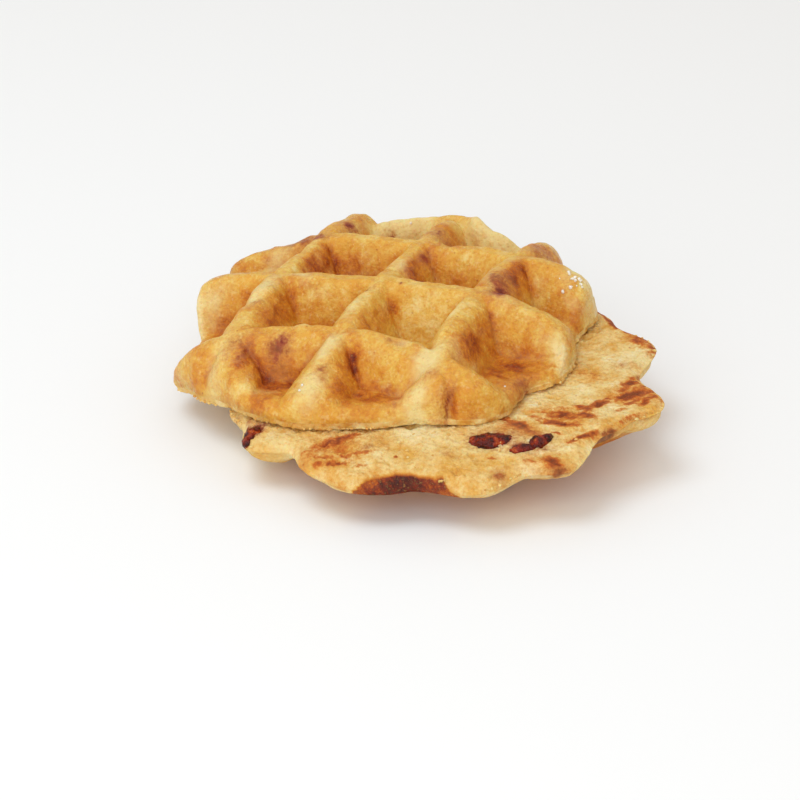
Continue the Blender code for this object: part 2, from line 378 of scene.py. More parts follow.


# Ovals on the upper half's grid: (u, v, half length, half width, turn, strength)
# Berries under the crust, which stain it brown to purple; the thin oval at (30.6, -34.8) is painted shade in
# the crease right of the front-right nose
UPPER_STAINS_AND_SHADE = (
    (-14.5, -26.6, 2.7, 2.5, 0, 0.85), (-14.2, -29, 2.4, 1.8, 0, 0.42), (-23.4, -27.6, 4.2, 3.2, 60, 0.36),
    (-21.8, -29.6, 3.2, 0.9, 82, 0.75), (-25.9, -11.4, 3.2, 1.9, 80, 0.36), (-30.6, 26, 6.5, 2.8, 10, 0.60),
    (-26, 26.4, 2.6, 1.8, 10, 0.85), (-21.6, 35.7, 4.6, 3.4, 100, 0.50), (-22.3, 36.2, 2.2, 0.9, 60, 0.8),
    (-13.6, 41.6, 2.4, 1.5, 0, 0.28), (-12.6, 41.2, 0.9, 0.8, 0, 0.75), (2, 35.2, 4.4, 3.2, 90, 0.42),
    (-3.3, -0.9, 3, 1, 20, 0.6), (5.4, 2.8, 0.5, 0.5, 0, 1), (3.6, 22.6, 2.6, 1.2, 80, 0.55),
    (27.2, 12, 3.6, 3.4, 95, 0.72), (29.4, 6, 3.4, 2.4, 70, 0.80), (30.5, 33, 5, 3.4, 80, 0.50),
    (33.5, 32, 2.6, 1.6, 90, 0.65), (0.1, -34.9, 2.4, 1.5, 50, 0.55), (1.4, -37, 2.4, 1.6, 70, 0.42),
    (13.5, -22.8, 3, 1.1, -10, 0.45), (25.2, -31, 3.2, 1.4, 30, 0.40), (29.2, -33.8, 4.6, 1.9, 72, 0.32),
    # Painted shade: the thin oval at (30.6, -34.8) lies in the crease right of the front-right nose
    (30.6, -34.8, 4.4, 0.5, 72, 0.72), (43, -18, 4.5, 2.6, 75, 0.50), (16.4, -38, 1.8, 1, 20, 0.32),
    (26.8, -41, 2.2, 1, 20, 0.34), (-47.4, 18.9, 4.6, 2.2, 90, 0.38), (33, -3.6, 9, 1.2, -20, 0.26),
)

# Berries close under the skin, red through it
UPPER_JUICE = (
    (28.6, 8.6, 3.6, 2.4, 80, 0.62), (30.2, 4.6, 2.2, 1.6, 60, 0.72), (-14.3, -25.9, 2, 1.6, 20, 0.50),
    (-14.8, -28.2, 1.4, 1.2, 0, 0.40), (-26.2, 26.6, 2.2, 1.3, 10, 0.55), (-22, 36, 1.9, 0.9, 60, 0.62),
    (3.6, 22.4, 2.2, 1, 80, 0.42), (-12.6, 41.2, 0.8, 0.7, 0, 0.40), (42, -17, 2, 1.2, 70, 0.34),
)

# Where the plate hardly touched and the dough stayed whitish
UPPER_PALE = (
    (-27.6, -6, 7.5, 2.1, 84, 1), (-41.5, -3, 4.5, 2.2, 20, 0.7), (-1.6, -28.5, 5.2, 2, 86, 1.1),
    (-1, -40.5, 4.2, 2.6, 84, 1.1), (23.2, -26.6, 4.6, 3, 86, 1.2), (23.4, -36.5, 4.6, 2.4, 86, 1.1),
    (-27.4, -33, 7, 2.4, 80, 0.6), (-1.6, -10.5, 4.6, 1.3, 88, 0.6), (-9, 44, 8, 3, 10, 1),
    (16, 43, 12, 3.5, -10, 0.8), (42.5, 25, 4, 2.4, 70, 0.8), (46.6, -3, 1.6, 3, 10, 0.8),
    (-48.5, -24, 2.5, 3, 60, 0.8), (15.6, -23, 1.6, 1, 0, 0.7), (-36, 20, 7, 2.2, 70, 0.6),
    (22.6, -6.5, 4, 1, 92, 0.5), (-22, 3.6, 3, 0.8, 0, 0.6), (1, 14, 3.5, 1.3, 88, 0.5),
    (-40, -24, 3, 1.4, 60, 0.5),
)

# Soft folds where the walls meet the floor, and in the ends' faces; they also darken the crust there, painted
# shade
UPPER_FOLDS = (
    (-10, -38.6, 7.5, 0.9, -22, 1), (-14, -35.6, 5, 0.8, -14, 0.6), (14.5, -36.4, 8, 0.9, -6, 1),
    (13, -38.2, 5, 0.8, -4, 0.5), (38, -16.5, 7, 0.8, -12, 1), (41, -18.8, 4, 0.7, -20, 0.6),
    (8, 34.8, 0.9, 3.6, 0, 0.9), (41, 8.4, 6, 0.8, -12, 0.8), (-28.2, -38, 0.8, 4, 20, 0.5),
)

# Dents in the soft crests and ends; the last number is mm
UPPER_DENTS = (
    (30.6, -36, 5.6, 1.3, 76, 1.7), (8, 34.8, 1, 3.8, 0, 0.8), (-3, -1, 3.2, 1.8, 20, 0.6),
    (27.4, 8, 3.4, 2.6, 80, 0.6), (-24.6, -15, 3, 2, 80, 0.5), (14, -23.4, 3.2, 1.7, -10, 0.55),
    (-11, -24, 3.2, 1.6, 0, 0.45), (0.8, 12, 3.4, 1.8, 80, 0.5), (-12, 4, 4, 1.6, 0, 0.4),
    (14, 4.6, 4, 1.6, 0, 0.45), (-0.4, -35, 2.6, 1.6, 30, 0.5), (-34, 27, 3.2, 2, 0, 0.5),
    (24, -20, 2.6, 1.8, 70, 0.4), (-23.5, 40, 4.4, 4.4, 0, 0.6), (38, 3, 3, 1.8, 10, 0.4),
)

# Where the skin is torn away and the crumb shows
UPPER_TORN = (
    (-45.5, -4.8, 2.6, 5, 0, 1), (44.6, 27, 4, 5, 60, 0.9), (48.2, -5, 2.2, 4.4, 8, 0.9),
    (-10, 46, 9, 2, 8, 0.6),
)

# Where the sugar has browned the most, and painted shade: the long narrow ovals just right of the ridges that
# run away darken their right-hand walls
UPPER_BROWNED_AND_SHADE = (
    (-13, -30, 7.5, 6, 0, 0.17), (31.6, -36.4, 6, 2.4, 76, 0.34), (36, -33, 4.4, 3.6, 60, 0.26),
    (-33, -28, 4, 4, 0, 0.14), (-34.5, -34, 1.6, 5, 15, 0.22), (2.6, 40, 4, 3, 0, 0.24),
    (30, 36, 5, 4, 0, 0.26), (-30, 30, 6, 3, 10, 0.18), (-46, 20, 5, 3, 90, 0.16),
    (10, -43, 9, 2.4, 0, 0.16), (-13.5, -43, 7.5, 3, 0, 0.24), (14, -33, 7, 3, 0, 0.12),
    (-14, -5, 8, 3.5, 0, 0.10), (12, -4, 8, 4, 0, 0.06), (-13, 22, 9, 4, 0, 0.14), (12, 21, 9, 4, 0, 0.06),
    (37, -9, 8, 5, 10, 0.15), (38, 15, 6, 4, 10, 0.12), (-37, -9.5, 6, 3.5, 10, 0.16),
    # Painted shade: the ovals of half size about 2 by 8 to 10.5 mm on these three lines lie on the right-hand
    # walls of the ridges that run away
    (29.4, -12, 2.4, 10.5, 0, 0.36), (4.2, -32, 2.1, 9.5, 0, 0.30), (3.9, -8, 2.2, 9, 0, 0.30),
    (-22.4, -8, 1.9, 9, 0, 0.32), (-21.4, -31, 1.9, 8.5, 0, 0.36), (28.8, 18, 2.1, 8, 0, 0.38),
    (3.6, 17, 2, 9, 0, 0.36), (-23, 17, 2, 9, 0, 0.38), (-33, -33, 1.4, 4, 20, 0.20),
    (28, -38, 2.6, 4, 0, 0.16), (5, 36, 2, 3, 0, 0.22), (33, -27, 3.5, 3, 0, 0.12),
)

# Where the walls stayed a clear golden yellow
UPPER_GOLDEN = (
    (12, -6, 10, 6, 0, 0.40), (-13, -6, 8, 5, 0, 0.14), (13, 18, 9, 5, 0, 0.08), (14, -30, 8, 4, 0, 0.04),
    (38, 13, 5, 4, 0, 0.06),
)

# Ovals on the lower half's cut face, in the same form
# Strokes where the face was pressed to the hot plate
LOWER_TOAST = (
    (25.9, -17.4, 7.4, 2.2, -26, 0.95), (22.6, -16, 3.4, 1.8, -20, 0.70), (33.7, -14, 6, 1.5, -2, 0.95),
    (31, -9.9, 4, 1.6, -27, 0.80), (28.6, -12.4, 3, 1.4, -20, 0.65), (27, -9, 2, 0.9, -20, 0.55),
    (34.4, -9.4, 5, 2, -20, 0.95), (38.4, -8.8, 4, 2, -16, 0.95), (37.2, -5, 3.6, 1.4, -27, 0.90),
    (39.9, -2.2, 4.6, 1.8, 44, 0.95), (41.4, 0.4, 2.4, 1.3, 44, 0.85), (32, -6.6, 3.4, 1.3, 20, 0.60),
    (46.2, 3.8, 5.8, 2.1, 46, 1.05), (49.4, 5.8, 4.4, 1.3, 52, 0.90), (44.3, 10.8, 4.8, 2.3, 72, 0.98),
    (48.4, 9, 3.4, 1.5, 66, 0.92), (43.6, 6.2, 2.6, 1.5, 60, 0.85), (47.6, 0.6, 3.6, 1.2, 50, 0.85),
    (47.4, 12, 3.4, 1.4, 80, 0.85), (45.8, 7.6, 3, 1.2, 50, 0.75), (50.6, 3, 4.8, 1.4, 69, 1),
    (45.9, -3.9, 2.4, 0.9, 48, 0.70), (44.2, 2.6, 3, 1.2, 40, 0.85), (39.2, 31.7, 3.4, 1.8, -43, 0.85),
    (37.6, 34.4, 2.6, 1.2, -40, 0.70), (34, 38.4, 8, 0.6, -30, 0.70), (-13.5, -34.8, 9, 2.3, 52, 0.80),
    (-15.6, -37.8, 4.4, 1.6, 40, 0.60), (-10.7, -43.3, 5.6, 1.3, 18, 0.84),
    (-13.6, -41.4, 4.4, 1, 10, 0.60), (-5.5, -37.6, 5, 0.9, 30, 0.66), (-8.6, -40.2, 4, 0.8, -20, 0.62),
    (-4.2, -42.5, 2.8, 0.6, 21, 0.62), (41.6, -17.9, 6, 0.85, 50, 1.15), (46.8, -11.8, 2.8, 0.6, 47, 1),
    (35.2, -18.3, 1.8, 0.45, -4, 0.9), (24.3, -31.4, 2.2, 0.8, 10, 0.66), (38.9, -29.7, 3.6, 1.7, -41, 1),
    (37.2, -29, 2.6, 1.4, -20, 0.70), (33.5, -30, 3, 1.2, 24, 0.50), (2.7, -36.8, 0.6, 0.6, 0, 1),
    (-0.2, -38.8, 0.7, 0.5, 0, 0.8), (10.2, -43.6, 0.8, 0.5, 0, 0.8),
)

# Orange warmth around the strokes; the last oval, at (31.6, 11), is painted shadow that the upper half casts
# on the cut face
LOWER_WARMTH_AND_SHADOW = (
    (33.5, -10.5, 9, 5.4, -10, 0.95), (26.5, -17.6, 8, 3.6, -26, 0.9), (46.5, 4.5, 8, 5.5, 50, 1.15),
    (38, 33.5, 6.5, 3.4, -40, 0.8), (-13, -38, 9.5, 6, 50, 0.95), (-9.5, -42.5, 8.5, 3.4, 18, 0.8),
    (41.6, -17.9, 7, 1.8, 50, 0.7), (6, -43.4, 14, 1.8, 4, 0.75), (24.9, -20.3, 7, 3.4, -24, 0.75),
    (-38, -24, 6, 5, 40, 0.22), (-20.5, -39, 4, 3.5, 0, 0.40), (-7.4, -48, 6, 2.6, 0, 0.60),
    (38, -29.8, 5.5, 3, -30, 0.75), (30, 25, 5, 4, -20, 0.30), (20, -38, 6, 3, 0, 0.30),
    (31.6, 11, 7, 4, 20, 0.85),
)

# Berries inside, seen through the crumb
LOWER_STAINS = (
    (39.2, 18.6, 4, 1.8, 13, 0.34), (14.4, -33.2, 2.4, 1.2, -20, 0.46), (-5.1, -34.9, 2, 1.7, 48, 0.50),
    (-2, -33, 3, 1.8, 20, 0.28), (10, -20, 3, 1.6, 0, 0.3), (24, -22.5, 8.5, 4.4, 10, 0.42),
    (33.2, -26, 4.6, 2.6, 30, 0.42), (27.6, -36.4, 1.7, 1.9, 16, 0.70), (31, -33, 5, 1.6, 20, 0.24),
    (-37.5, -29.5, 2.6, 1.6, 60, 0.5),
)

# Berry juice soaked into the crumb
LOWER_JUICE = (
    (21.9, -25.4, 6, 3.4, 10, 0.76), (32.8, -22.4, 3.2, 2.2, 46, 0.72), (29.4, -26.2, 4, 1.5, 26, 0.80),
    (-34, -33.6, 4.2, 2.6, 90, 0.8), (-36.6, -33, 1.6, 3, 0, 0.7),
)

# Where the edge of the cut face stayed whitish
LOWER_PALE = (
    (39, -33, 6, 3, 60, 0.48), (-26, -43.5, 7.5, 4.6, 30, 1.08),
)

# Ovals on the lower half's side: (degrees round the rim, half width, mm down, half height, strength)
LOWER_SIDE_STAINS_AND_SHADE = (
    (322.8, 2.4, 0.5, 3.6, 0.95), (318, 3.4, 0.5, 1.6, 0.4), (307, 1.8, 1, 2, 0.4),
    # The three ovals from 340.6 to 344.8 degrees lie in the notch near 341 degrees: its brown crust with
    # painted shade
    (344.8, 2.1, 1.6, 3, 1.4), (342.8, 2.1, 4, 3.4, 1.4), (340.6, 2.4, 6.8, 3.6, 1.4), (19, 3, 3, 6, 0.75),
    (212, 1.8, 1, 2, 0.5),
)

# mm of pale crumb between the cut edge and the dark baked skin, round the rim
LOWER_CRUMB_BAND = (
    (0, 9.0), (12, 8.0), (19, 4.5), (27, 8.0), (60, 6.0), (180, 5.0), (225, 9.0), (260, 9.5),
    (264, 5.0), (266, 2.8), (268, 1.0), (271, 0.2), (290.4, 0.2), (291.4, 1.8), (294, 3.4), (296.5, 4.6),
    (299, 8.0), (303, 10.0), (333, 9.0),
    (337, 5.0), (341, 4.0), (345, 8.0),
)

# How brown the cut edge is, round the rim
LOWER_BROWN_EDGE = (
    (0, 0.1), (6, 0.5), (16, 0.0), (28, 0.0), (36, 0.9), (62, 1.0), (70, 0.6), (100, 0.5), (200, 0.5),
    (215, 0.0), (340, 0.0), (352, 0.5),
)


def speckled(at, seed):
    """Uneven patches of two sizes, about 1 in the mean: what makes a stain's edge ragged."""
    return np.clip(1.0 + 0.45 * rough(at, 1.8, seed) + 0.25 * noise(at, 0.7, seed + 7), 0.0, 2.0)


def dress_upper():
    """Relief and colour masks of the upper half.

    Relief is lumps of three sizes and wrinkles across the crests, less creases in the corners
    and the marked folds and dents. The torn edge moves in and out by noise that fades within
    about 1.3 mm. Darkness is how dark the crust is painted: an even bake, a little darker off
    the crests, painted shade in the pocket corners, in the folds and in strips down the ridges'
    right-hand walls, browning at the browned marks, less on the lip and the golden walls, plus
    noise of two sizes.
    """
    shell = Shell(UPPER)
    at = shell.points.copy()
    crust = ~(shell.on_cut | shell.on_wall)
    low = 1.0 - shell.ridge
    relief = eased(shell.fall / 0.3)
    lumps = 0.60 * noise(at, 13.0, 11) + 0.34 * rough(at, 6.0, 15) + 0.16 * rough(at, 2.4, 21)
    flat = np.stack([shell.u, shell.v, np.zeros_like(shell.u)], axis=-1)
    wrinkles_away = noise(flat, (3.6, 1.4, 1.0), 31)
    wrinkles_across = noise(flat, (1.4, 3.6, 1.0), 33)
    wrinkles = np.where(shell.to_away < shell.to_across, wrinkles_away, wrinkles_across)
    wrinkles = wrinkles * eased((shell.ridge - 0.4) / 0.4)
    creases = -0.30 * shell.corner**2 * eased(low / 0.35) * relief
    creases = creases - 0.12 * marks(shell.u, shell.v, UPPER_FOLDS)
    creases = creases - marks(shell.u, shell.v, UPPER_DENTS)
    shell.push(np.where(crust, lumps + 0.09 * wrinkles + creases, 0.25 * rough(at, 2.2, 41)))
    near_cut = np.exp(-((shell.depth / 1.3) ** 2)) * np.exp(-((shell.from_rim / 1.2) ** 2))
    ragged = 0.60 * rough(at, 3.4, 51) + 0.50 * noise(at, 1.0, 55) - 0.2
    facing = shell.angle + GRID_TURN
    out = np.stack([np.cos(facing), np.sin(facing), np.full_like(facing, 0.35)], axis=-1)
    shell.points = shell.points + (near_cut * ragged)[..., None] * out

    rim_pale = eased((8.0 - shell.from_rim) / 8.0)
    nose = eased((13.0 - shell.from_rim) / 9.0) * eased((shell.ridge - 0.45) / 0.4)
    # Painted shade: darker in the pocket corners on this line and in the marked folds on the next
    darkness = 0.30 + 0.10 * eased(low / 0.5) + 0.14 * shell.corner**2 * eased(low / 0.3) * relief
    darkness = darkness + 0.06 * wrinkles + 0.12 * marks(shell.u, shell.v, UPPER_FOLDS)
    lip = eased(round_rim(shell.angle, UPPER.lip) / 9.0) * eased((10.0 - shell.from_rim) / 5.0)
    lip = np.clip(lip * eased((low - 0.1) / 0.6) * speckled(at, 99), 0.0, 1.0)
    lip = lip * eased((shell.depth - 1.0) / 3.0)
    darkness = darkness - 0.32 * lip - marks(shell.u, shell.v, UPPER_GOLDEN)
    # Browned marks, with painted shade in strips on the ridges' right-hand walls
    darkness = darkness + marks(shell.u, shell.v, UPPER_BROWNED_AND_SHADE)
    darkness = darkness * (1.0 - 0.16 * rim_pale)
    darkness = darkness + 0.12 * rough(at, 6.0, 71) + 0.09 * rough(at, 2.0, 61)
    pale = marks(shell.u, shell.v, UPPER_PALE) * speckled(at, 91)
    pale = np.maximum(pale, 0.9 * lip)
    stain_and_shade = marks(shell.u, shell.v, UPPER_STAINS_AND_SHADE) * speckled(at, 81)
    torn = eased(1.6 * marks(shell.u, shell.v, UPPER_TORN) * speckled(at, 95) - 0.3)
    crumb = np.where(crust, np.exp(-((shell.depth / 1.2) ** 2)) * (shell.from_rim < 2.0), 1.0)
    crumb = np.maximum(crumb, torn)
    darkness = np.where(crust, darkness * (1.0 - 0.6 * torn), 0.34 + 0.20 * rough(at, 2.8, 63))
    juice = marks(shell.u, shell.v, UPPER_JUICE) * speckled(at, 97) * crust
    masks = {"darkness": darkness, "stain_and_shade": stain_and_shade, "crumb": crumb, "pale": pale, "gloss": nose, "juice": juice}
    return shell, masks


def dress_lower():
    """Relief and colour masks of the lower half.

    The cut face is waves of three sizes, less round holes of three sizes, with two torn ledges.
    The side bulges by half a sine wave. Skin is 1 where the side is baked and not torn: below
    the crumb band, and all over the grid side from SKIN_FROM_RIM inwards. Char is the pressed
    strokes, the brown edge, the warmth round them and a painted shadow that the upper half
    casts on the cut face, on crumb alone. In the fold where the notch's two lobes meet, the
    skin is painted darker: painted shade.
    """
    shell = Shell(LOWER)
    at = shell.points.copy()
    crust = ~(shell.on_cut | shell.on_wall)
    waves = 0.34 * rough(at, 9.0, 111) + 0.20 * rough(at, 2.6, 121) + 0.06 * noise(at, 1.0, 125)
    holes = 0.6 * pits(shell.u, shell.v, 3.6, 0.3, 131) + 0.4 * pits(shell.u, shell.v, 2.0, 0.5, 141)
    holes = holes + 0.25 * pits(shell.u, shell.v, 1.1, 0.5, 145)
    torn = 0.5 * eased((shell.v - 0.95 * (shell.u - 39.0) + 15.6) / 0.9 + 0.5)
    torn = torn * mark(shell.u, shell.v, (36.0, -14.0, 10.0, 6.0, 40, 1.0))
    belly = 0.6 * np.sin(np.pi * np.clip(shell.share, 0.0, 1.0)) * shell.on_wall
    side = 0.25 * rough(at, 6.0, 151) + 0.08 * rough(at, 1.6, 155)
    face = eased(shell.from_rim / 2.5)
    ledge = eased((shell.v + 27.4 - 0.15 * (shell.u - 26.5)) / 0.8 + 0.5)
    ledge = 0.35 * ledge * mark(shell.u, shell.v, (26.5, -25.0, 9.0, 4.0, 8, 1.0))
    shell.push(np.where(shell.on_cut, waves - holes * face + torn + ledge, side + belly))

    band = round_rim(shell.angle, LOWER_CRUMB_BAND) + 0.5 * rough(at, 2.0, 157)
    skin = eased((shell.depth - band) / 0.5 + 0.5)
    skin = np.maximum(skin, eased((shell.from_rim - SKIN_FROM_RIM) / SKIN_FADE + 0.15 * rough(at, 2.0, 159)))
    crumb = np.where(crust | shell.on_wall, 1.0 - skin, 1.0)

    long_way = np.stack([at[..., 0], 1.8 * at[..., 1], at[..., 2]], axis=-1)
    broken = 0.30 * rough(long_way, 3.0, 161) + 0.42 * rough(at, 1.1, 171)
    darkness = marks(shell.u, shell.v, LOWER_TOAST)
    darkness = np.clip((darkness * (1.0 + broken) - 0.14) / 0.90, 0.0, 1.0)
    # The warmth holds a painted shadow of the upper half on the cut face, which also darkens the bread colour
    # further down
    warmth_and_shadow = marks(shell.u, shell.v, LOWER_WARMTH_AND_SHADOW) * (0.75 + 0.6 * rough(at, 2.6, 173))
    edge = round_rim(shell.angle, LOWER_BROWN_EDGE) * np.exp(-(((shell.from_rim - 0.5) / 0.9) ** 2))
    edge = edge * np.clip(1.0 + 2.0 * broken, 0.2, 1.2) * (shell.depth < 2.4)
    warmth_and_shadow = np.clip(np.where(shell.on_cut | shell.on_wall, warmth_and_shadow, 0.0), 0.0, 1.0)
    char_and_shadow = np.maximum(np.where(shell.on_cut, np.maximum(darkness, edge), edge), 0.44 * warmth_and_shadow) * crumb

    stain_and_shade = np.where(shell.on_cut, marks(shell.u, shell.v, LOWER_STAINS), 0.0)
    for degrees, half_width, down, half_height, strength in LOWER_SIDE_STAINS_AND_SHADE:
        away = ((shell.degrees - degrees) / half_width) ** 2 + ((shell.depth - down) / half_height) ** 2
        near = strength * np.exp(-away) * (shell.from_rim < 6.0) * ~shell.on_cut
        stain_and_shade = np.maximum(stain_and_shade, near)
    stain_and_shade = stain_and_shade * speckled(at, 181)

    past_notch = shell.degrees - NOTCH_DEGREES
    notch = np.exp(-((past_notch / NOTCH_HALF_WIDTH) ** 2))
    baked = 0.48 + 0.26 * (1.0 - shell.ridge) * shell.fall + 0.14 * rough(at, 4.0, 191) * (1.0 - 0.75 * notch)
    baked = baked + notch * (0.56 - 0.13 * eased(past_notch / 6.0)) * (shell.from_rim < 8.0)
    streaks = np.stack([at[..., 0] + 0.8 * at[..., 2], at[..., 1], 0.25 * at[..., 2]], axis=-1)
    baked = baked + 0.16 * notch * noise(streaks, 0.5, 195)
    # Painted shade: the skin is darker in the fold where the notch's two lobes meet
    fold_shade = np.exp(-(((shell.degrees - FOLD_SHADE_DEGREES) / FOLD_SHADE_HALF_WIDTH) ** 2))
    fold_shade = fold_shade * (shell.from_rim < 10.0) * skin
    baked = baked + 0.08 * fold_shade
    bread = 0.25 + 0.28 * warmth_and_shadow + 0.16 * rough(at, 7.0, 197) + 0.09 * rough(at, 2.2, 199)
    bread = bread + 0.22 * np.where(shell.on_cut, holes, 0.0)
    base = bread * crumb + baked * (1.0 - crumb)
    pale = marks(shell.u, shell.v, LOWER_PALE)
    shell.points[..., 2] = np.maximum(shell.points[..., 2], ABOVE_TABLE)
    juice = np.where(shell.on_cut, marks(shell.u, shell.v, LOWER_JUICE), 0.0) * speckled(at, 211)
    masks = {"darkness": base, "stain_and_shade": stain_and_shade, "crumb": crumb, "char_and_shadow": char_and_shadow, "pale": pale, "juice": juice}
    return shell, masks


def one_at_poles(rings):
    """What rings of points carry, in one row: a single value for each pole, every one between."""
    between = rings[1:-1].reshape(-1, *rings.shape[2:])
    return np.concatenate([rings[0, :1], between, rings[-1, :1]])


def closed_rings(points, first_index=0):
    """Corners and faces of rings of points whose first and last ring are single poles."""
    rings, spokes = points.shape[:2]
    corners = one_at_poles(points)
    j = np.arange(spokes)
    after = (j + 1) % spokes
    ring = 1 + spokes * np.arange(rings - 3)[:, None]
    quads = np.stack([ring + j, ring + spokes + j, ring + spokes + after, ring + after], axis=-1)
    last = 1 + spokes * (rings - 3)
    first_cap = np.stack([np.zeros_like(j), 1 + j, 1 + after], axis=-1)
    last_cap = np.stack([np.full_like(j, len(corners) - 1), last + after, last + j], axis=-1)
    faces = [first_cap, quads.reshape(-1, 4), last_cap]
    return corners, [face + first_index for face in faces]


def new_object(name, corners, faces, material):
    """A smooth mesh object of one material, at the origin."""
    mesh = bpy.data.meshes.new(name)
    mesh.from_pydata(corners, [], faces)
    mesh.shade_smooth()
    mesh.materials.append(material)
    piece = bpy.data.objects.new(name, mesh)
    bpy.context.scene.collection.objects.link(piece)
    return piece


def paint(mesh, layer, masks):
    """Stores up to four masks, each from 0 to 1, as one colour of each point."""
    colour = np.zeros((len(mesh.vertices), 4), np.float32)
    for channel, mask in enumerate(masks):
        colour[:, channel] = np.clip(one_at_poles(mask), 0.0, 1.0)
    attribute = mesh.attributes.new(layer, "FLOAT_COLOR", "POINT")
    attribute.data.foreach_set("color", colour.ravel())


# The colour layers of a shell, and the mask in each of their channels
PAINT_LAYERS = (("bake", ("darkness", "stain_and_shade", "crumb", "char_and_shadow")), ("tint", ("pale", "gloss", "juice")))


def shell_object(name, shell, masks, material):
    """The mesh of a shell, with its masks painted on."""
    corners, kinds = closed_rings((shell.points + STACK_SHIFT) * MM)
    # The half with its grid down is the mirror image, so its faces run the other way round
    faces = []
    for kind in kinds:
        faces.extend(kind[:, :: shell.half.side].tolist())
    piece = new_object(name, corners, faces, material)
    nowhere = np.zeros(shell.s.shape)
    for layer, channels in PAINT_LAYERS:
        paint(piece.data, layer, [masks.get(channel, nowhere) for channel in channels])
    piece.data.update()
    return piece


def linear(hex_colour):
    """An sRGB hex colour as Blender's linear RGBA."""
    value = np.array([int(hex_colour[k : k + 2], 16) for k in (0, 2, 4)]) / 255.0
    value = np.where(value <= 0.04045, value / 12.92, ((value + 0.055) / 1.055) ** 2.4)
    return (*value.tolist(), 1.0)


def add(tree, kind, inputs=None, stops=(), **settings):
    """Adds a node with its settings and links, and gives its outputs.

    inputs gives each socket a value, or another node's output. stops are the (position, hex
    colour) pairs of a colour ramp.
    """
    node = tree.nodes.new("ShaderNode" + kind)
    for name, value in settings.items():
        setattr(node, name, value)
    for socket, value in (inputs or {}).items():
        if isinstance(value, bpy.types.NodeSocket):
            tree.links.new(value, node.inputs[socket])
        else:
            node.inputs[socket].default_value = value
    if stops:
        points = node.color_ramp.elements
        while len(points) < len(stops):
            points.new(0.5)
        for point, (position, colour) in zip(points, stops):
            point.position = position
            point.color = linear(colour)
    return node.outputs


def new_material(name):
    """A material with its tree, its shader and the Object coordinates that its patterns read."""
    material = bpy.data.materials.new(name)
    material.use_nodes = True
    tree = material.node_tree
    return material, tree, tree.nodes["Principled BSDF"], add(tree, "TexCoord")["Object"]


def laid_over(tree, surface, colour, mask, none, full, most, where=1.0):
    """The surface under a layer of this colour.

    The layer's share is 0 where the mask is at none and most where it is at full, straight
    between and clamped, and is then multiplied by where.
    """
    share = add(tree, "MapRange", {"Value": mask, "From Min": none, "From Max": full, "To Max": most})[0]
    share = add(tree, "Math", {0: share, 1: where}, operation="MULTIPLY")[0]
    return add(tree, "Mix", {0: share, 6: surface, 7: colour}, data_type="RGBA")[2]


